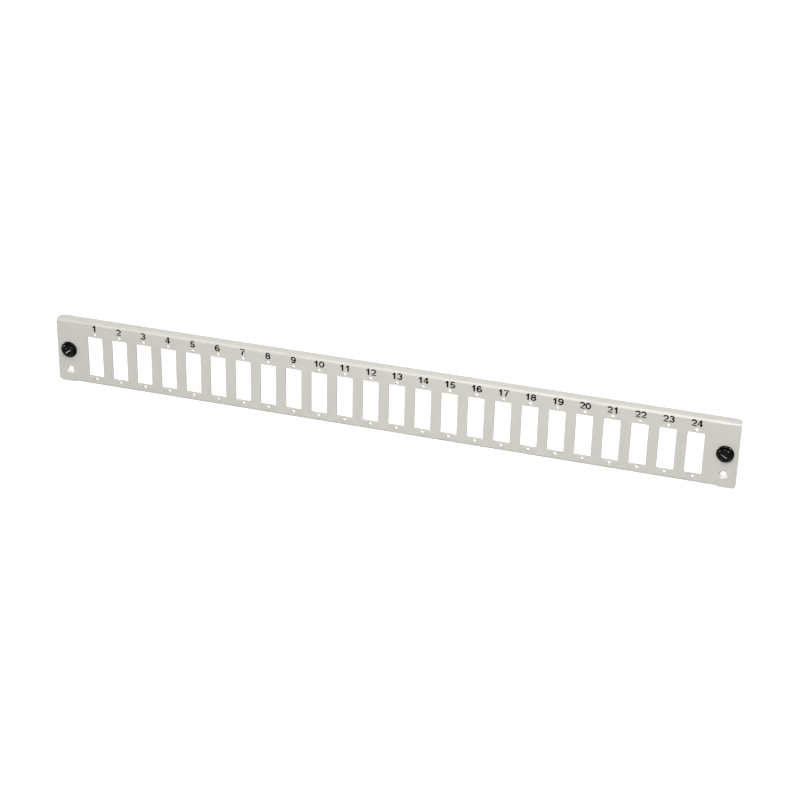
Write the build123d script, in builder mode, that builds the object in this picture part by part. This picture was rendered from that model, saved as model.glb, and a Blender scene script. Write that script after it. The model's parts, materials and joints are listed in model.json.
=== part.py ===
"""Front plate of a 1U fibre patch panel: one folded steel sheet with 24 duplex adapter
cut-outs, held to its drawer by a push-pull latch at each end.

Frame, in millimetres: X runs along the width, Y goes back, Z is up. The origin lies on the
back of the face, which seats on the drawer, midway between the two countersunk screw holes.
"""

import os

from build123d import *

# Folded sheet
plate_width = 440.0
plate_height = 43.6
sheet = 1.5
inner_bend_radius = 0.5
top_flange_depth = 7.0
bottom_flange_depth = 4.0
bottom_flange_inset = 11.8
face_corner_radius = 2.5
flange_corner_radius = 4.0
relief_slit_width = 0.3
relief_past_bend = 0.2

# Adapter cut-outs, each with a screw hole above and below
port_count = 24
port_pitch = 16.85
port_width = 10.4
port_height = 27.8
port_centre_above_edge = 19.8
adapter_screw_from_port = 1.8
adapter_screw_diameter = 2.2

# Countersunk screw holes near the bottom corners
panel_screw_from_end = 8.0
panel_screw_above_edge = 8.6
panel_screw_diameter = 3.4
countersink_diameter = 5.8
countersink_angle = 90.0

# Push-pull latches
latch_from_end = 8.0
latch_above_edge = 22.8
barrel_diameter = 6.4
barrel_length = 11.5
barrel_fit_clearance = 0.05
collar_diameter = 10.8
collar_height = 1.4
seat_depth = 0.5
barb_height = 0.35
barb_length = 1.2
leg_slot_width = 0.8

# Plunger of the latch
head_diameter = 8.4
head_height = 2.0
head_gap = 0.25
shank_diameter = 3.6
running_clearance = 0.05
bulb_diameter = 4.4
bulb_length = 2.0
bulb_shoulder_gap = 0.4
plunger_travel = 4.0
shank_guide_length = 5.5

# Places worked out from the sizes above
outer_bend_radius = inner_bend_radius + sheet
relief_slit_depth = outer_bend_radius + relief_past_bend
front_y = -sheet
bottom_edge = -panel_screw_above_edge
top_edge = bottom_edge + plate_height
bottom_flange_length = plate_width - 2 * bottom_flange_inset
port_centre = bottom_edge + port_centre_above_edge
adapter_screw_spacing = port_height + 2 * adapter_screw_from_port
panel_screw_x = plate_width / 2 - panel_screw_from_end
latch_x = plate_width / 2 - latch_from_end
latch_z = bottom_edge + latch_above_edge
collar_front_y = front_y - collar_height
seat_y = collar_front_y + seat_depth
barrel_end_y = front_y + barrel_length
guide_end_y = seat_y + shank_guide_length
bulb_start_y = guide_end_y + bulb_shoulder_gap + plunger_travel


def make_front_plate():
    """The folded sheet: face, full-width top flange and inset bottom flange."""
    with BuildPart() as front_plate:
        # Face and top flange, as one bent section
        with BuildSketch(Plane.YZ):
            with BuildLine():
                flange_end = front_y + top_flange_depth
                outer = FilletPolyline(
                    (front_y, bottom_edge), (front_y, top_edge), (flange_end, top_edge),
                    radius=outer_bend_radius)
                inner = FilletPolyline(
                    (flange_end, top_edge - sheet), (0, top_edge - sheet), (0, bottom_edge),
                    radius=inner_bend_radius)
                Line(outer @ 1, inner @ 0)
                Line(inner @ 1, outer @ 0)
            make_face()
        extrude(amount=plate_width / 2, both=True)
        fillet(front_plate.edges().filter_by(Axis.Y).group_by(Axis.Z)[0], face_corner_radius)
        fillet(front_plate.edges().filter_by(Axis.Z).group_by(Axis.Y)[-1], flange_corner_radius)

        # The face stops where the bottom bend begins, between two relief slits
        with BuildSketch(Plane.XZ):
            with Locations((0, bottom_edge)):
                Rectangle(bottom_flange_length, outer_bend_radius, align=(Align.CENTER, Align.MIN))
            slit_x = (bottom_flange_length + relief_slit_width) / 2
            with Locations((-slit_x, bottom_edge), (slit_x, bottom_edge)):
                Rectangle(relief_slit_width, relief_slit_depth, align=(Align.CENTER, Align.MIN))
        extrude(amount=sheet, mode=Mode.SUBTRACT)

        # Bottom flange, folded back from the face
        with BuildSketch(Plane.YZ):
            with BuildLine():
                fold_top = bottom_edge + outer_bend_radius + sheet
                flange_end = front_y + bottom_flange_depth
                outer = FilletPolyline(
                    (front_y, fold_top), (front_y, bottom_edge), (flange_end, bottom_edge),
                    radius=outer_bend_radius)
                inner = FilletPolyline(
                    (flange_end, bottom_edge + sheet), (0, bottom_edge + sheet), (0, fold_top),
                    radius=inner_bend_radius)
                Line(outer @ 1, inner @ 0)
                Line(inner @ 1, outer @ 0)
            make_face()
        extrude(amount=bottom_flange_length / 2, both=True)

        # Adapter cut-outs with their screw holes, and the latch holes
        with BuildSketch(Plane.XZ):
            with Locations((0, port_centre)):
                with GridLocations(port_pitch, 1, port_count, 1):
                    Rectangle(port_width, port_height)
                with GridLocations(port_pitch, adapter_screw_spacing, port_count, 2):
                    Circle(adapter_screw_diameter / 2)
            with Locations((-latch_x, latch_z), (latch_x, latch_z)):
                Circle(barrel_diameter / 2 + barrel_fit_clearance)
        extrude(amount=sheet, mode=Mode.SUBTRACT)

        # Countersunk holes for the screws that fix the plate for good
        with Locations(Plane.XZ.offset(sheet)):
            with Locations((-panel_screw_x, 0), (panel_screw_x, 0)):
                CounterSinkHole(
                    radius=panel_screw_diameter / 2, counter_sink_radius=countersink_diameter / 2,
                    depth=sheet, counter_sink_angle=countersink_angle)
    return front_plate


def make_latch_grommet(centre_x):
    """The split barrel that snaps into the sheet, with the collar seen from the front."""
    centre = Plane((centre_x, 0, latch_z))
    across = Plane(centre.origin, x_dir=(1, 0, 0), z_dir=(0, 1, 0))
    barrel_radius = barrel_diameter / 2
    barb_end_y = barrel_fit_clearance + barb_length
    with BuildPart() as latch_grommet:
        with BuildSketch(centre):
            with BuildLine():
                Polyline(
                    (shank_diameter / 2 + running_clearance, seat_y),
                    (head_diameter / 2 + head_gap, seat_y),
                    (head_diameter / 2 + head_gap, collar_front_y),
                    (collar_diameter / 2, collar_front_y),
                    (collar_diameter / 2, front_y),
                    (barrel_radius, front_y),
                    (barrel_radius, barrel_fit_clearance),
                    (barrel_radius + barb_height, barrel_fit_clearance),
                    (barrel_radius, barb_end_y),
                    (barrel_radius, barrel_end_y),
                    (bulb_diameter / 2 + running_clearance, barrel_end_y),
                    (bulb_diameter / 2 + running_clearance, guide_end_y),
                    (shank_diameter / 2 + running_clearance, guide_end_y),
                    close=True)
            make_face()
        revolve(axis=Axis((centre_x, 0, latch_z), (0, 1, 0)))

        # Two crossed slots part the barrel, barb and all, into four legs behind the sheet
        with BuildSketch(across.offset(barrel_fit_clearance)):
            Rectangle(barrel_diameter + 2 * barb_height, leg_slot_width)
            Rectangle(leg_slot_width, barrel_diameter + 2 * barb_height)
        extrude(amount=barrel_end_y - barrel_fit_clearance, mode=Mode.SUBTRACT)
    return latch_grommet


def make_latch_plunger(centre_x):
    """The button and shank; the bulb at its end keeps it in the barrel when it is pulled."""
    head_front_y = seat_y - head_height
    bulb_end_y = bulb_start_y + bulb_length
    shoulder_length = (bulb_diameter - shank_diameter) / 2
    with BuildPart() as latch_plunger:
        with BuildSketch(Plane((centre_x, 0, latch_z))):
            with BuildLine():
                Polyline(
                    (0, head_front_y),
                    (head_diameter / 2, head_front_y),
                    (head_diameter / 2, seat_y),
                    (shank_diameter / 2, seat_y),
                    (shank_diameter / 2, bulb_start_y - shoulder_length),
                    (bulb_diameter / 2, bulb_start_y),
                    (bulb_diameter / 2, bulb_end_y),
                    (0, bulb_end_y),
                    close=True)
            make_face()
        revolve(axis=Axis((centre_x, 0, latch_z), (0, 1, 0)))
    return latch_plunger


pieces = {"front_plate": make_front_plate()}
for side, x in (("left", -latch_x), ("right", latch_x)):
    pieces[f"latch_grommet_{side}"] = make_latch_grommet(x)
    pieces[f"latch_plunger_{side}"] = make_latch_plunger(x)

os.makedirs("parts", exist_ok=True)
for name, piece in pieces.items():
    piece.part.label = name
    export_step(piece.part, f"parts/{name}.step")
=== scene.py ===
"""Looks of a fibre patch panel front plate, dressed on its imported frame.

The plate is one folded, powder-coated sheet with 24 numbered cut-outs. A glossy black push-pull
latch sits near each end. Sizes are in metres, in the frame's own axes: X runs along the width,
Y goes back and Z is up.
"""

from __future__ import annotations

import json
import logging
import math
from contextlib import contextmanager
from dataclasses import dataclass, field
from enum import Enum
from typing import Callable, Iterator

import bmesh
import bpy
from mathutils import Matrix, Vector

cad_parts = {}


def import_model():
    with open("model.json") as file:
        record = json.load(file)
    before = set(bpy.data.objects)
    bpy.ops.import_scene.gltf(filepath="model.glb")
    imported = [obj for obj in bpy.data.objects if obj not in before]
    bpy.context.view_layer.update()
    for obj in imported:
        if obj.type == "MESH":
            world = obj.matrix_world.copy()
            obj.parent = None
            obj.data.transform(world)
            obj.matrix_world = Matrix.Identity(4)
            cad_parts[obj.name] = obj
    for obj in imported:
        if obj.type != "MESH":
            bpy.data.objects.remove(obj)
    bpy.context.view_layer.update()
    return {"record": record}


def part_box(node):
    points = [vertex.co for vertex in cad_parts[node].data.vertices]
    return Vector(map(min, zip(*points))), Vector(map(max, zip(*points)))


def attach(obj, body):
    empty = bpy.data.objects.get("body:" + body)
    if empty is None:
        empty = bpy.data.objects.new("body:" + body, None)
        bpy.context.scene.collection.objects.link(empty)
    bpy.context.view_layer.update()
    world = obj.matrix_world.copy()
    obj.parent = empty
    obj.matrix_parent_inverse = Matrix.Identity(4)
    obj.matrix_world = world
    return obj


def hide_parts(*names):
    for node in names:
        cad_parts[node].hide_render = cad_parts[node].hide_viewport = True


LOG = logging.getLogger("front_plate")
MM = 0.001
TOUCH = 0.01 * MM
MERGE_WITHIN = 0.1 * TOUCH
WHITE = (1, 1, 1, 1)

# Edges that turn further than the first angle are rounded, and those below the second look smooth
SHARP_ANGLE = math.radians(40)
SMOOTH_ANGLE = math.radians(35)

# Facets round a turned piece, and across each of its rounded corners
TURN_STEPS = 96
ROUNDING_STEPS = 6

# The span that most of a noise's values lie in
NOISE_LOW = 0.3
NOISE_HIGH = 0.7

Place = Callable[[Vector], bool]


class Pick(Enum):
    """What a selection in edit mode is made of."""

    VERTEX = "VERT"
    EDGE = "EDGE"
    FACE = "FACE"


class Side(Enum):
    """The end of the plate that a latch sits at, as seen from the front."""

    LEFT = "left"
    RIGHT = "right"


def near(value: float, target: float) -> bool:
    """Returns whether two lengths are the same to a hundredth of a millimetre."""
    return abs(value - target) < TOUCH


def deselect_all() -> None:
    """Clears the selection in object mode."""
    bpy.ops.object.select_all(action="DESELECT")


def make_only(piece: bpy.types.Object) -> None:
    """Selects one object and makes it the active one.

    Args:
        piece: the object.
    """
    deselect_all()
    piece.select_set(True)
    bpy.context.view_layer.objects.active = piece


def take_up(name: str) -> bpy.types.Object:
    """Names the primitive that was just added and settles its place into its mesh.

    Args:
        name: the piece's name.

    Returns:
        The object, at the origin, unturned and unscaled.
    """
    piece = bpy.context.object
    piece.name = name
    piece.data.name = name
    bpy.ops.object.transform_apply(location=True, rotation=True, scale=True)
    return piece


@contextmanager
def editing(piece: bpy.types.Object) -> Iterator[None]:
    """Opens a piece in edit mode for as long as the block lasts.

    Args:
        piece: the object to edit.
    """
    make_only(piece)
    bpy.ops.object.mode_set(mode="EDIT")
    yield
    bpy.ops.object.mode_set(mode="OBJECT")


def pick(piece: bpy.types.Object, kind: Pick, wanted: Place) -> None:
    """Selects the elements of a piece in edit mode whose corners all lie in one place.

    Args:
        piece: the object in edit mode.
        kind: whether vertices, edges or faces are selected.
        wanted: says of a corner whether it lies in that place.
    """
    bpy.ops.mesh.select_mode(type=kind.value)
    bpy.ops.mesh.select_all(action="DESELECT")
    mesh = bmesh.from_edit_mesh(piece.data)
    if kind is Pick.VERTEX:
        chosen = [v for v in mesh.verts if wanted(v.co)]
    else:
        elements = mesh.edges if kind is Pick.EDGE else mesh.faces
        chosen = [e for e in elements if all(wanted(v.co) for v in e.verts)]
    for element in chosen:
        element.select_set(True)
    mesh.select_flush_mode()
    bmesh.update_edit_mesh(piece.data)


def extrude_by(step: Vector) -> None:
    """Extrudes what is selected in edit mode by one step."""
    bpy.ops.mesh.extrude_region_move(TRANSFORM_OT_translate={"value": tuple(step)})


def trace(name: str, route: list[Vector]) -> bpy.types.Object:
    """Draws a chain of edges through a route of points.

    Args:
        name: the piece's name.
        route: the points in order. A route that ends where it starts becomes a ring.

    Returns:
        The chain.
    """
    deselect_all()
    bpy.ops.mesh.primitive_plane_add(size=MM, location=route[0])
    chain = take_up(name)
    with editing(chain):
        bpy.ops.mesh.select_mode(type=Pick.VERTEX.value)
        bpy.ops.mesh.select_all(action="SELECT")
        bpy.ops.mesh.merge(type="CENTER")
        for before, after in zip(route, route[1:]):
            extrude_by(after - before)
        bpy.ops.mesh.select_all(action="SELECT")
        bpy.ops.mesh.remove_doubles(threshold=MERGE_WITHIN)
    return chain


def close_up(piece: bpy.types.Object) -> None:
    """Merges a piece's doubled points and turns its faces outwards.

    Args:
        piece: the object to mend.
    """
    with editing(piece):
        bpy.ops.mesh.select_all(action="SELECT")
        bpy.ops.mesh.remove_doubles(threshold=MERGE_WITHIN)
        bpy.ops.mesh.normals_make_consistent(inside=False)


def join(pieces: list[bpy.types.Object]) -> bpy.types.Object:
    """Joins pieces into the first of them.

    Args:
        pieces: the objects to join.

    Returns:
        The first of them, with all the others in it.
    """
    make_only(pieces[0])
    for piece in pieces:
        piece.select_set(True)
    bpy.ops.object.join()
    return pieces[0]


def cut(piece: bpy.types.Object, cutter: bpy.types.Object) -> None:
    """Cuts a cutter's shape out of a piece and throws the cutter away.

    Args:
        piece: the object that is cut.
        cutter: the shape that is taken out of it.
    """
    make_only(piece)
    bpy.ops.object.modifier_add(type="BOOLEAN")
    boolean = piece.modifiers[-1]
    boolean.operation = "DIFFERENCE"
    boolean.solver = "EXACT"
    boolean.object = cutter
    bpy.ops.object.modifier_apply(modifier=boolean.name)
    bpy.data.objects.remove(cutter)


def soften(piece: bpy.types.Object, width: float, segments: int) -> None:
    """Breaks a piece's sharp edges and shades it smooth.

    Args:
        piece: the object to finish.
        width: how far the rounding reaches from each edge.
        segments: the number of faces across the rounding.
    """
    make_only(piece)
    bpy.ops.object.modifier_add(type="BEVEL")
    bevel = piece.modifiers[-1]
    bevel.width = width
    bevel.segments = segments
    bevel.limit_method = "ANGLE"
    bevel.angle_limit = SHARP_ANGLE
    bpy.ops.object.modifier_apply(modifier=bevel.name)
    shade(piece)


def shade(piece: bpy.types.Object) -> None:
    """Shades a piece smooth, with its flat faces kept flat.

    Args:
        piece: the object to shade.
    """
    make_only(piece)
    bpy.ops.object.shade_smooth_by_angle(angle=SMOOTH_ANGLE)
    bpy.ops.object.modifier_add(type="WEIGHTED_NORMAL")
    weighted = piece.modifiers[-1]
    weighted.keep_sharp = True
    bpy.ops.object.modifier_apply(modifier=weighted.name)


def make_column(name: str, centre: Vector, radius: float, length: float, sides: int) -> bpy.types.Object:
    """Makes a round bar along Y, for cutting a hole.

    Args:
        name: the bar's name.
        centre: its middle.
        radius: its radius.
        length: its length along Y.
        sides: the number of faces around it.

    Returns:
        The bar.
    """
    deselect_all()
    bpy.ops.mesh.primitive_cylinder_add(
        vertices=sides, radius=radius, depth=length, location=centre, rotation=(math.pi / 2, 0, 0))
    return take_up(name)


@dataclass(frozen=True)
class Finish:
    """A surface finish: its colour and how it takes the light."""

    name: str
    colour: tuple[float, float, float]
    colour_swing: float
    patch_size: float
    roughness: float
    roughness_swing: float
    grain_size: float
    grain_height: float
    specular: float = 0.5

    def material(self) -> bpy.types.Material:
        """Makes the finish as a node material on Object coordinates.

        Returns:
            The material, with a slow drift of colour, an uneven gloss and a fine grain.
        """
        material = bpy.data.materials.new(self.name)
        material.use_nodes = True
        tree = material.node_tree
        nodes, links = tree.nodes, tree.links
        shader = nodes["Principled BSDF"]
        shader.inputs["Specular IOR Level"].default_value = self.specular
        place = nodes.new("ShaderNodeTexCoord")

        patches = self._noise(tree, place, self.patch_size, detail=3.0)
        drift = self._spread(tree, patches, 1 - self.colour_swing, 1 + self.colour_swing)
        tint = nodes.new("ShaderNodeVectorMath")
        tint.operation = "SCALE"
        tint.inputs[0].default_value = self.colour
        links.new(drift, tint.inputs["Scale"])
        links.new(tint.outputs["Vector"], shader.inputs["Base Color"])

        grain = self._noise(tree, place, self.grain_size, detail=2.0)
        gloss = self._spread(
            tree, grain, self.roughness - self.roughness_swing, self.roughness + self.roughness_swing)
        links.new(gloss, shader.inputs["Roughness"])

        bump = nodes.new("ShaderNodeBump")
        bump.inputs["Strength"].default_value = 1.0
        bump.inputs["Distance"].default_value = self.grain_height
        links.new(grain, bump.inputs["Height"])
        links.new(bump.outputs["Normal"], shader.inputs["Normal"])
        return material

    @staticmethod
    def _noise(
            tree: bpy.types.NodeTree, place: bpy.types.Node, size: float,
            detail: float) -> bpy.types.NodeSocket:
        """Adds a noise whose patches are of one real size.

        Args:
            tree: the material's node tree.
            place: the texture coordinate node.
            size: the patches' size.
            detail: how many finer octaves it has.

        Returns:
            The noise's value.
        """
        noise = tree.nodes.new("ShaderNodeTexNoise")
        noise.inputs["Scale"].default_value = 1 / size
        noise.inputs["Detail"].default_value = detail
        tree.links.new(place.outputs["Object"], noise.inputs["Vector"])
        return noise.outputs["Fac"]

    @staticmethod
    def _spread(
            tree: bpy.types.NodeTree, value: bpy.types.NodeSocket, low: float,
            high: float) -> bpy.types.NodeSocket:
        """Spreads a noise's usual range over a new one.

        Args:
            tree: the material's node tree.
            value: the noise's value.
            low: what the noise's low end becomes.
            high: what the noise's high end becomes.

        Returns:
            The new value.
        """
        spread = tree.nodes.new("ShaderNodeMapRange")
        spread.inputs["From Min"].default_value = NOISE_LOW
        spread.inputs["From Max"].default_value = NOISE_HIGH
        spread.inputs["To Min"].default_value = low
        spread.inputs["To Max"].default_value = high
        tree.links.new(value, spread.inputs["Value"])
        return spread.outputs["Result"]


POWDER_COAT = Finish(
    name="powder_coat", colour=(0.560, 0.546, 0.507), colour_swing=0.012, patch_size=35 * MM,
    roughness=0.34, roughness_swing=0.04, grain_size=0.9 * MM, grain_height=0.012 * MM,
    specular=0.22)
BLACK_NYLON = Finish(
    name="black_nylon", colour=(0.0015, 0.0015, 0.0018), colour_swing=0.15, patch_size=4 * MM,
    roughness=0.16, roughness_swing=0.03, grain_size=0.5 * MM, grain_height=0.001 * MM,
    specular=0.08)
PRINT_INK = Finish(
    name="print_ink", colour=(0.0025, 0.002, 0.003), colour_swing=0.2, patch_size=1.5 * MM,
    roughness=0.5, roughness_swing=0.08, grain_size=0.3 * MM, grain_height=0.004 * MM,
    specular=0.03)


def settle(piece: bpy.types.Object, body: str, finish: bpy.types.Material) -> None:
    """Dresses a finished piece and makes it ride on its body.

    Args:
        piece: the piece.
        body: the body it moves with.
        finish: its material.
    """
    piece.data.materials.clear()
    piece.data.materials.append(finish)
    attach(piece, body)
    LOG.info("%s rides %s with %d faces", piece.name, body, len(piece.data.polygons))


@dataclass
class SheetPlate:
    """The folded sheet: face, top flange, inset bottom flange and all its holes."""

    lowest: Vector
    highest: Vector
    ports: list[dict]
    screw_spacing: float
    screw_hole_radius: float
    fixing_x: float
    fixing_radius: float
    latch_places: list[Vector]
    sheet: float = 1.5 * MM
    outer_bend: float = 2.0 * MM
    bottom_flange_depth: float = 4.0 * MM
    bottom_flange_inset: float = 11.8 * MM
    slit_width: float = 0.3 * MM
    slit_depth: float = 2.2 * MM
    face_corner: float = 2.5 * MM
    flange_corner: float = 4.0 * MM
    port_width: float = 10.4 * MM
    port_height: float = 27.8 * MM
    countersink_radius: float = 2.9 * MM
    latch_hole_radius: float = 3.25 * MM
    edge_softness: float = 0.12 * MM
    edge_steps: int = 2
    bend_steps: int = 8
    face_corner_steps: int = 10
    flange_corner_steps: int = 12
    screw_hole_sides: int = 40
    countersink_sides: int = 56
    latch_hole_sides: int = 64
    cutter_length: float = field(init=False)

    def __post_init__(self) -> None:
        """Works out how long a cutter is that passes well through the sheet."""
        self.cutter_length = 4 * self.sheet

    def build(self) -> bpy.types.Object:
        """Folds the sheet and punches it.

        Returns:
            The finished sheet.
        """
        plate = self._fold()
        cut(plate, self._port_cutter())
        for place in self.latch_places:
            centre = Vector((place.x, self.lowest.y, place.z))
            cut(plate, make_column(
                "latch_hole", centre, self.latch_hole_radius, self.cutter_length, self.latch_hole_sides))
        for x in (-self.fixing_x, self.fixing_x):
            cut(plate, self._countersink_cutter(x))
        soften(plate, self.edge_softness, self.edge_steps)
        return plate

    def _fold(self) -> bpy.types.Object:
        """Makes the flat face, folds its flanges back and gives the sheet its thickness.

        Returns:
            The folded sheet, without its holes.
        """
        width = self.highest.x - self.lowest.x
        height = self.highest.z - self.lowest.z
        middle = (self.highest.z + self.lowest.z) / 2
        deselect_all()
        bpy.ops.mesh.primitive_plane_add(
            size=1, location=(0, self.lowest.y, middle), rotation=(math.pi / 2, 0, 0))
        bpy.context.object.scale = (width, height, 1)
        plate = take_up("folded_sheet")

        fold_end = width / 2 - self.bottom_flange_inset
        slit_end = fold_end + self.slit_width
        slit_top = self.lowest.z + self.slit_depth
        with editing(plate):
            for x in (-slit_end, -fold_end, fold_end, slit_end):
                bpy.ops.mesh.select_all(action="SELECT")
                bpy.ops.mesh.bisect(plane_co=(x, 0, 0), plane_no=(1, 0, 0))
            bpy.ops.mesh.select_all(action="SELECT")
            bpy.ops.mesh.bisect(plane_co=(0, 0, slit_top), plane_no=(0, 0, 1))
            for side in (-1, 1):
                pick(plate, Pick.FACE, lambda p, s=side: fold_end - TOUCH < s * p.x < slit_end + TOUCH
                     and p.z < slit_top + TOUCH)
                bpy.ops.mesh.delete(type="FACE")

            pick(plate, Pick.EDGE, lambda p: near(p.z, self.highest.z))
            extrude_by(Vector((0, self.highest.y - self.lowest.y, 0)))
            pick(plate, Pick.EDGE, lambda p: near(p.z, self.lowest.z) and abs(p.x) < fold_end + TOUCH)
            extrude_by(Vector((0, self.bottom_flange_depth, 0)))

            pick(plate, Pick.VERTEX, lambda p: near(abs(p.x), width / 2)
                 and near(p.y, self.highest.y) and near(p.z, self.highest.z))
            bpy.ops.mesh.bevel(
                offset=self.flange_corner, segments=self.flange_corner_steps, affect="VERTICES")
            pick(plate, Pick.VERTEX, lambda p: near(abs(p.x), width / 2) and near(p.z, self.lowest.z))
            bpy.ops.mesh.bevel(
                offset=self.face_corner, segments=self.face_corner_steps, affect="VERTICES")

            pick(plate, Pick.EDGE, lambda p: near(p.y, self.lowest.y) and (
                near(p.z, self.highest.z)
                or (near(p.z, self.lowest.z) and abs(p.x) < fold_end + TOUCH)))
            bpy.ops.mesh.bevel(offset=self.outer_bend, segments=self.bend_steps, affect="EDGES")

        make_only(plate)
        bpy.ops.object.modifier_add(type="SOLIDIFY")
        wall = plate.modifiers[-1]
        wall.thickness = self.sheet
        wall.offset = -1
        wall.use_even_offset = True
        bpy.ops.object.modifier_apply(modifier=wall.name)
        return plate

    def _port_cutter(self) -> bpy.types.Object:
        """Makes one cut-out with its two screw holes and repeats it along the row.

        Returns:
            The cutter for the whole row.
        """
        first = self.ports[0]
        pitch = self.ports[1]["pos_m"][0] - first["pos_m"][0]
        centre = Vector((first["pos_m"][0], self.lowest.y, first["pos_m"][2]))
        deselect_all()
        bpy.ops.mesh.primitive_cube_add(size=1, location=centre)
        bpy.context.object.scale = (self.port_width, self.cutter_length, self.port_height)
        window = take_up("port_cutter")
        rise = Vector((0, 0, self.screw_spacing / 2))
        holes = [
            make_column(
                "screw_cutter", centre + step, self.screw_hole_radius, self.cutter_length,
                self.screw_hole_sides)
            for step in (rise, -rise)]
        cutter = join([window, *holes])
        bpy.ops.object.modifier_add(type="ARRAY")
        row = cutter.modifiers[-1]
        row.count = len(self.ports)
        row.use_relative_offset = False
        row.use_constant_offset = True
        row.constant_offset_displace = (pitch, 0, 0)
        bpy.ops.object.modifier_apply(modifier=row.name)
        return cutter

    def _countersink_cutter(self, x: float) -> bpy.types.Object:
        """Makes a bar with a flared front end, for one countersunk hole.

        Args:
            x: the hole's place along the width.

        Returns:
            The cutter.
        """
        depth = self.countersink_radius - self.fixing_radius
        flare_start = self.lowest.y + depth
        overshoot = self.sheet
        bar_end = self.lowest.y + 2 * self.sheet
        centre = Vector((x, (flare_start + bar_end) / 2, 0))
        cutter = make_column(
            "countersink", centre, self.fixing_radius, bar_end - flare_start, self.countersink_sides)
        flare = self.countersink_radius + overshoot
        with editing(cutter):
            pick(cutter, Pick.FACE, lambda p: near(p.y, flare_start))
            extrude_by(Vector((0, -depth - overshoot, 0)))
            scale = flare / self.fixing_radius
            bpy.ops.transform.resize(value=(scale, 1, scale), center_override=(x, flare_start, 0))
        return cutter


@dataclass(frozen=True)
class Corner:
    """A corner of a turned profile: its distance from the axis, its place along it and its rounding."""

    radius: float
    along: float
    rounding: float = 0.0


def turn(name: str, axis: Vector, profile: list[Corner], closed: bool) -> bpy.types.Object:
    """Traces a profile, rounds its corners and turns it once round an axis along Y.

    Args:
        name: the piece's name.
        axis: a point on the axis.
        profile: the profile's corners in order.
        closed: whether the profile is a ring, or runs from the axis back to it.

    Returns:
        The turned piece.
    """
    def at(corner: Corner) -> Vector:
        """Returns a corner's place beside the axis."""
        return Vector((axis.x + corner.radius, corner.along, axis.z))

    route = profile + ([profile[0]] if closed else [])
    piece = trace(name, [at(corner) for corner in route])
    with editing(piece):
        for corner in profile:
            if corner.rounding:
                pick(piece, Pick.VERTEX, lambda p, c=corner: (p - at(c)).length < TOUCH)
                bpy.ops.mesh.bevel(offset=corner.rounding, segments=ROUNDING_STEPS, affect="VERTICES")
        bpy.ops.mesh.select_all(action="SELECT")
        bpy.ops.mesh.spin(steps=TURN_STEPS, angle=math.tau, center=axis, axis=(0, 1, 0))
    close_up(piece)
    return piece


# How far each head's driver slot leans from level, in degrees
SLOT_LEAN = {Side.LEFT: 36.0, Side.RIGHT: -33.0}


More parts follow.
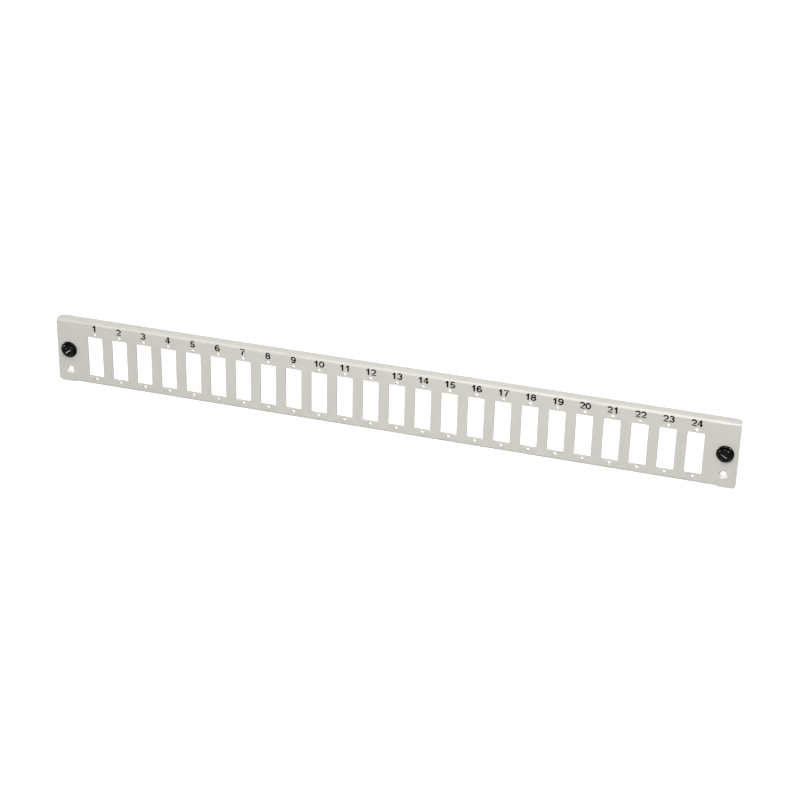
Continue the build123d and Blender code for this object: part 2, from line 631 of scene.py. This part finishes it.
@dataclass
class PushPullLatch:
    """A push-pull latch: the split grommet in the sheet and the plunger that runs in it."""

    side: Side
    axis: Vector
    slot_lean: float
    collar_radius: float
    collar_front: float
    barrel_radius: float
    barrel_end: float
    head_front: float
    bulb_end: float
    face: float
    seat_depth: float = 0.5 * MM
    head_radius: float = 4.2 * MM
    head_gap: float = 0.25 * MM
    shank_radius: float = 1.8 * MM
    bulb_radius: float = 2.2 * MM
    bulb_length: float = 2.0 * MM
    play: float = 0.05 * MM
    guide_length: float = 5.5 * MM
    barb_height: float = 0.35 * MM
    barb_length: float = 1.2 * MM
    leg_slot: float = 0.8 * MM
    boss_radius: float = 2.1 * MM
    groove_radius: float = 3.0 * MM
    groove_depth: float = 0.55 * MM
    slot_radius: float = 1.10 * MM
    slot_depth: float = 0.40 * MM
    slot_length: float = 4.4 * MM
    slot_sides: int = 48
    rim_rounding: float = 0.15 * MM
    bore_rounding: float = 0.10 * MM
    collar_rounding: float = 0.72 * MM
    foot_rounding: float = 0.08 * MM
    barb_rounding: float = 0.05 * MM
    leg_rounding: float = 0.30 * MM
    boss_rounding: float = 0.30 * MM
    groove_rounding: float = 0.20 * MM
    head_rounding: float = 0.80 * MM
    bulb_rounding: float = 0.60 * MM
    seat: float = field(init=False)

    def __post_init__(self) -> None:
        """Works out where the head's underside seats in the collar."""
        self.seat = self.collar_front + self.seat_depth

    def build_grommet(self) -> bpy.types.Object:
        """Turns the collar and barrel and splits the barrel into four legs.

        Returns:
            The grommet.
        """
        guide_end = self.seat + self.guide_length
        chamber = self.bulb_radius + self.play
        bore = self.shank_radius + self.play
        recess = self.head_radius + self.head_gap
        profile = [
            Corner(bore, self.seat, self.bore_rounding),
            Corner(recess, self.seat),
            Corner(recess, self.collar_front, self.rim_rounding),
            Corner(self.collar_radius, self.collar_front, self.collar_rounding),
            Corner(self.collar_radius, self.face, self.foot_rounding),
            Corner(self.barrel_radius, self.face),
            Corner(self.barrel_radius, self.play),
            Corner(self.barrel_radius + self.barb_height, self.play, self.barb_rounding),
            Corner(self.barrel_radius, self.play + self.barb_length),
            Corner(self.barrel_radius, self.barrel_end, self.leg_rounding),
            Corner(chamber, self.barrel_end, self.rim_rounding),
            Corner(chamber, guide_end),
            Corner(bore, guide_end, self.barb_rounding),
        ]
        grommet = turn(f"grommet_{self.side.value}", self.axis, profile, closed=True)
        length = self.barrel_end - self.play + self.leg_slot
        middle = Vector((self.axis.x, self.play + length / 2, self.axis.z))
        across = 2 * (self.barrel_radius + self.barb_height) + self.leg_slot
        for size in ((across, length, self.leg_slot), (self.leg_slot, length, across)):
            deselect_all()
            bpy.ops.mesh.primitive_cube_add(size=1, location=middle)
            bpy.context.object.scale = size
            cut(grommet, take_up("leg_slot_cutter"))
        close_up(grommet)
        shade(grommet)
        return grommet

    def build_plunger(self) -> bpy.types.Object:
        """Turns the head, shank and bulb and cuts the driver slot across the head.

        Returns:
            The plunger.
        """
        bulb_start = self.bulb_end - self.bulb_length
        shoulder = self.bulb_radius - self.shank_radius
        groove_floor = self.head_front + self.groove_depth
        profile = [
            Corner(0.0, self.head_front),
            Corner(self.boss_radius, self.head_front, self.boss_rounding),
            Corner(self.boss_radius, groove_floor, self.rim_rounding),
            Corner(self.groove_radius, groove_floor, self.rim_rounding),
            Corner(self.groove_radius, self.head_front, self.groove_rounding),
            Corner(self.head_radius, self.head_front, self.head_rounding),
            Corner(self.head_radius, self.seat, self.foot_rounding),
            Corner(self.shank_radius, self.seat),
            Corner(self.shank_radius, bulb_start - shoulder),
            Corner(self.bulb_radius, bulb_start, self.bore_rounding),
            Corner(self.bulb_radius, self.bulb_end, self.bulb_rounding),
            Corner(0.0, self.bulb_end),
        ]
        plunger = turn(f"plunger_{self.side.value}", self.axis, profile, closed=False)
        cut(plunger, self._slot_cutter())
        close_up(plunger)
        shade(plunger)
        return plunger

    def _slot_cutter(self) -> bpy.types.Object:
        """Lays a round bar across the head, for its driver slot.

        Returns:
            The cutter.
        """
        middle = self.head_front + self.slot_depth - self.slot_radius
        deselect_all()
        bpy.ops.mesh.primitive_cylinder_add(
            vertices=self.slot_sides, radius=self.slot_radius, depth=self.slot_length,
            location=(self.axis.x, middle, self.axis.z),
            rotation=(0, math.radians(90 - self.slot_lean), 0))
        return take_up("slot_cutter")


@dataclass(frozen=True)
class Bow:
    """A stretch of an ellipse that a pen draws, in shares of a figure's height and in degrees."""

    across: float
    up: float
    half_width: float
    half_height: float
    start: float
    end: float
    steps: int = 14

    def points(self) -> list[tuple[float, float]]:
        """Works out the points along the stretch.

        Returns:
            The points in the order of drawing.
        """
        angles = (math.radians(self.start + (self.end - self.start) * step / self.steps)
                  for step in range(self.steps + 1))
        return [(self.across + self.half_width * math.cos(angle),
                 self.up + self.half_height * math.sin(angle)) for angle in angles]


Stroke = tuple[Bow | tuple[float, float], ...]

FIGURES: dict[str, tuple[Stroke, ...]] = {
    "0": ((Bow(0, 0.5, 0.25, 0.415, 0, 360),),),
    "1": (((0.07, 0), (0.07, 1)), ((0.07, 0.87), (-0.19, 0.66))),
    "2": ((Bow(0, 0.67, 0.24, 0.245, 170, -38), (-0.23, 0.085), (0.29, 0.085)),),
    "3": ((Bow(0, 0.71, 0.215, 0.205, 160, -90),), (Bow(0, 0.295, 0.245, 0.21, 90, -165),)),
    "4": (((0.11, 0), (0.11, 1)), ((0.08, 0.94), (-0.27, 0.28), (0.31, 0.28))),
    "5": (((0.25, 0.915), (-0.14, 0.915), (-0.19, 0.47), Bow(0, 0.315, 0.25, 0.23, 140, -160)),),
    "6": ((Bow(0, 0.5, 0.25, 0.415, 40, 180), (-0.25, 0.32)), (Bow(0, 0.315, 0.25, 0.23, 0, 360),)),
    "7": (((-0.28, 0.915), (0.26, 0.915), (0.03, 0.5), (-0.08, 0)),),
    "8": ((Bow(0, 0.72, 0.21, 0.195, 0, 360),), (Bow(0, 0.3, 0.25, 0.215, 0, 360),)),
    "9": ((Bow(0, 0.5, 0.25, 0.415, 220, 360), (0.25, 0.68)), (Bow(0, 0.685, 0.25, 0.23, 0, 360),)),
}


@dataclass
class PortNumbers:
    """The printed numbers over the cut-outs."""

    ports: list[dict]
    face: float
    baseline: float = 29.3 * MM
    digit_height: float = 4.35 * MM
    breadth: float = 1.22
    advance: float = 3.6 * MM
    pen_width: float = 1.08 * MM
    film: float = 0.02 * MM

    def build(self) -> list[bpy.types.Object]:
        """Models each digit once and sets the numbers from copies.

        Returns:
            The numbers, in the order of the cut-outs.
        """
        digits = {letter: self._digit(letter, strokes) for letter, strokes in FIGURES.items()}
        numbers = [self._number(index + 1, port["pos_m"][0], digits)
                   for index, port in enumerate(self.ports)]
        for digit in digits.values():
            bpy.data.objects.remove(digit)
        return numbers

    def _digit(self, letter: str, strokes: tuple[Stroke, ...]) -> bpy.types.Object:
        """Draws one digit, standing on the origin and centred there.

        Args:
            letter: the digit.
            strokes: the strokes of the pen.

        Returns:
            The digit as a thin film in the XZ plane.
        """
        return join([self._draw(f"digit_{letter}", stroke) for stroke in strokes])

    def _draw(self, name: str, stroke: Stroke) -> bpy.types.Object:
        """Draws one stroke as a round bar and presses it flat.

        Args:
            name: the stroke's name.
            stroke: its points and bows.

        Returns:
            The stroke.
        """
        places: list[tuple[float, float]] = []
        for part in stroke:
            places += part.points() if isinstance(part, Bow) else [part]
        bar = trace(name, [Vector((across * self.breadth, 0, up)) * self.digit_height
                           for across, up in places])
        make_only(bar)
        bpy.ops.object.convert(target="CURVE")
        bar.data.bevel_depth = self.pen_width / 2
        bar.data.bevel_resolution = 1
        bar.data.use_fill_caps = True
        bpy.ops.object.convert(target="MESH")
        bar = bpy.context.object
        bar.scale.y = self.film / self.pen_width
        bpy.ops.object.transform_apply(location=False, rotation=False, scale=True)
        return bar

    def _number(self, number: int, x: float, digits: dict[str, bpy.types.Object]) -> bpy.types.Object:
        """Sets one number over its cut-out.

        Args:
            number: the number to set.
            x: the middle of the cut-out.
            digits: the ten digits by their letters.

        Returns:
            The number as one piece.
        """
        letters = str(number)
        start = x - self.advance * (len(letters) - 1) / 2
        copies = []
        for index, letter in enumerate(letters):
            copy = digits[letter].copy()
            copy.data = digits[letter].data.copy()
            copy.data.transform(Matrix.Translation(
                (start + index * self.advance, self.face - self.film / 2, self.baseline)))
            bpy.context.collection.objects.link(copy)
            copies.append(copy)
        piece = join(copies)
        piece.name = f"port_number_{number:02d}"
        piece.data.name = piece.name
        close_up(piece)
        return piece


@dataclass(frozen=True)
class Lamp:
    """A square soft lamp, aimed at the plate."""

    name: str
    place: tuple[float, float, float]
    size: float
    watts: float
    glint_only: bool = False

    def hang(self) -> None:
        """Hangs the lamp and turns it to the plate."""
        deselect_all()
        bpy.ops.object.light_add(type="AREA", location=self.place)
        lamp = bpy.context.object
        lamp.name = self.name
        lamp.data.size = self.size
        lamp.data.energy = self.watts
        lamp.rotation_euler = (-Vector(self.place)).to_track_quat("-Z", "Y").to_euler()
        lamp.visible_camera = False
        lamp.visible_diffuse = not self.glint_only


@dataclass
class Studio:
    """The floor, the white surroundings, the lamps and the camera."""

    floor_drop: float = 0.55
    floor_size: float = 30.0
    floor_colour: tuple[float, float, float, float] = (0.6, 0.6, 0.6, 1)
    floor_roughness: float = 0.9
    floor_lift: float = 0.7
    fill_level: float = 0.66
    lamps: tuple[Lamp, ...] = (
        Lamp("lamp_over_middle", (0.08, -0.50, 0.55), 0.40, 4.3),
        Lamp("glint_left", (-1.46, -0.53, 0.34), 0.35, 70.0, glint_only=True),
        Lamp("glint_right", (0.98, -1.08, 0.71), 0.35, 70.0, glint_only=True),
        Lamp("glint_top", (0.17, -0.69, 1.35), 0.16, 24.0, glint_only=True),
        Lamp("glint_top_left", (-0.72, -0.85, 1.15), 0.20, 3.0, glint_only=True),
    )
    azimuth: float = 16.525
    elevation: float = 27.303
    roll: float = 1.302
    lens: float = 91.382
    sensor: float = 36.0
    eye: tuple[float, float, float] = (0.32684, -1.06694, 0.58918)

    def build(self) -> None:
        """Sets up everything that isn't the plate."""
        self._lay_floor()
        self._light()
        self._place_camera()

    @staticmethod
    def _seen_directly(tree: bpy.types.NodeTree) -> bpy.types.NodeSocket:
        """Says whether a ray comes from the camera, a reflection or a transmission.

        Args:
            tree: the node tree to add to.

        Returns:
            A value of 1 for such a ray and 0 for any other.
        """
        path = tree.nodes.new("ShaderNodeLightPath")
        total = path.outputs["Is Camera Ray"]
        for name in ("Is Glossy Ray", "Is Transmission Ray"):
            add = tree.nodes.new("ShaderNodeMath")
            add.operation = "MAXIMUM"
            tree.links.new(total, add.inputs[0])
            tree.links.new(path.outputs[name], add.inputs[1])
            total = add.outputs["Value"]
        return total

    def _lay_floor(self) -> None:
        """Lays a pale floor well below the plate, which keeps the plate's shadow."""
        deselect_all()
        bpy.ops.mesh.primitive_plane_add(size=self.floor_size, location=(0, 0, -self.floor_drop))
        floor = take_up("floor")
        material = bpy.data.materials.new("pale_floor")
        material.use_nodes = True
        tree = material.node_tree
        shader = tree.nodes["Principled BSDF"]
        shader.inputs["Base Color"].default_value = self.floor_colour
        shader.inputs["Roughness"].default_value = self.floor_roughness
        shader.inputs["Emission Color"].default_value = WHITE
        lift = tree.nodes.new("ShaderNodeMath")
        lift.operation = "MULTIPLY"
        lift.inputs[1].default_value = self.floor_lift
        tree.links.new(self._seen_directly(tree), lift.inputs[0])
        tree.links.new(lift.outputs["Value"], shader.inputs["Emission Strength"])
        floor.data.materials.append(material)

    def _light(self) -> None:
        """Makes the surroundings white to the eye and soft as light, and hangs the lamps."""
        world = bpy.data.worlds.new("studio")
        bpy.context.scene.world = world
        world.use_nodes = True
        tree = world.node_tree
        background = tree.nodes["Background"]
        background.inputs["Color"].default_value = WHITE
        level = tree.nodes.new("ShaderNodeMapRange")
        level.inputs["To Min"].default_value = self.fill_level
        level.inputs["To Max"].default_value = 1.0
        tree.links.new(self._seen_directly(tree), level.inputs["Value"])
        tree.links.new(level.outputs["Result"], background.inputs["Strength"])
        for lamp in self.lamps:
            lamp.hang()

    def _place_camera(self) -> None:
        """Places the camera at the photograph's viewing angle."""
        azimuth, elevation, roll = (
            math.radians(angle) for angle in (self.azimuth, self.elevation, self.roll))
        ahead = Vector((-math.sin(azimuth) * math.cos(elevation),
                        math.cos(azimuth) * math.cos(elevation), -math.sin(elevation)))
        level = Vector((math.cos(azimuth), math.sin(azimuth), 0))
        upright = level.cross(ahead)
        right = math.cos(roll) * level + math.sin(roll) * upright
        up = math.cos(roll) * upright - math.sin(roll) * level
        turned = Matrix((right, up, -ahead)).transposed().to_4x4()
        deselect_all()
        bpy.ops.object.camera_add()
        camera = bpy.context.object
        camera.matrix_world = Matrix.Translation(self.eye) @ turned
        camera.data.lens = self.lens
        camera.data.sensor_width = self.sensor
        bpy.context.scene.camera = camera
        bpy.context.scene.view_settings.view_transform = "Standard"


def mounts_named(record: dict, start: str) -> list[dict]:
    """Returns the record's mounts whose names begin in one way, in name order."""
    return sorted((m for m in record["mounts"] if m["name"].startswith(start)), key=lambda m: m["name"])


def plate_from(record: dict) -> SheetPlate:
    """Reads the sheet's sizes from the frame.

    Args:
        record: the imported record.

    Returns:
        The sheet, ready to build.
    """
    lowest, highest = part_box("front_plate")
    fixing = mounts_named(record, "panel_screws")[0]["dims"]
    ports = mounts_named(record, "adapter_")
    latches = mounts_named(record, "latch_barrel_")
    return SheetPlate(
        lowest=lowest, highest=highest, ports=ports,
        screw_spacing=ports[0]["dims"]["spacing_y_mm"] * MM,
        screw_hole_radius=ports[0]["dims"]["hole_r_mm"] * MM,
        fixing_x=fixing["spacing_x_mm"] * MM / 2, fixing_radius=fixing["hole_r_mm"] * MM,
        latch_places=[Vector(latch["pos_m"]) for latch in latches])


def latch_from(record: dict, side: Side, face: float) -> PushPullLatch:
    """Reads one latch's sizes from the frame.

    Args:
        record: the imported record.
        side: the end of the plate.
        face: the front of the sheet along Y.

    Returns:
        The latch, ready to build.
    """
    mount = mounts_named(record, f"latch_barrel_{side.value}")[0]
    grommet_low, grommet_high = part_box(f"latch_grommet_{side.value}")
    plunger_low, plunger_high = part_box(f"latch_plunger_{side.value}")
    return PushPullLatch(
        side=side, axis=Vector((mount["pos_m"][0], 0, mount["pos_m"][2])), slot_lean=SLOT_LEAN[side],
        collar_radius=(grommet_high.x - grommet_low.x) / 2, collar_front=grommet_low.y,
        barrel_radius=mount["dims"]["r_mm"] * MM, barrel_end=grommet_high.y,
        head_front=plunger_low.y, bulb_end=plunger_high.y, face=face)


def main() -> None:
    """Builds the plate, its latches and its numbers, and sets up the studio."""
    logging.basicConfig(level=logging.INFO, format="%(message)s")
    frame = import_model()
    record = frame["record"]

    coat = POWDER_COAT.material()
    nylon = BLACK_NYLON.material()
    ink = PRINT_INK.material()

    plate = plate_from(record)
    sheet = plate.build()
    settle(sheet, "plate", coat)
    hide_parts("front_plate")

    for side in Side:
        latch = latch_from(record, side, plate.lowest.y)
        grommet = latch.build_grommet()
        settle(grommet, "plate", nylon)
        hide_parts(f"latch_grommet_{side.value}")
        plunger = latch.build_plunger()
        settle(plunger, f"plunger_{side.value}", nylon)
        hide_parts(f"latch_plunger_{side.value}")

    for number in PortNumbers(ports=plate.ports, face=plate.lowest.y).build():
        settle(number, "plate", ink)

    Studio().build()


if __name__ == "__main__":
    main()
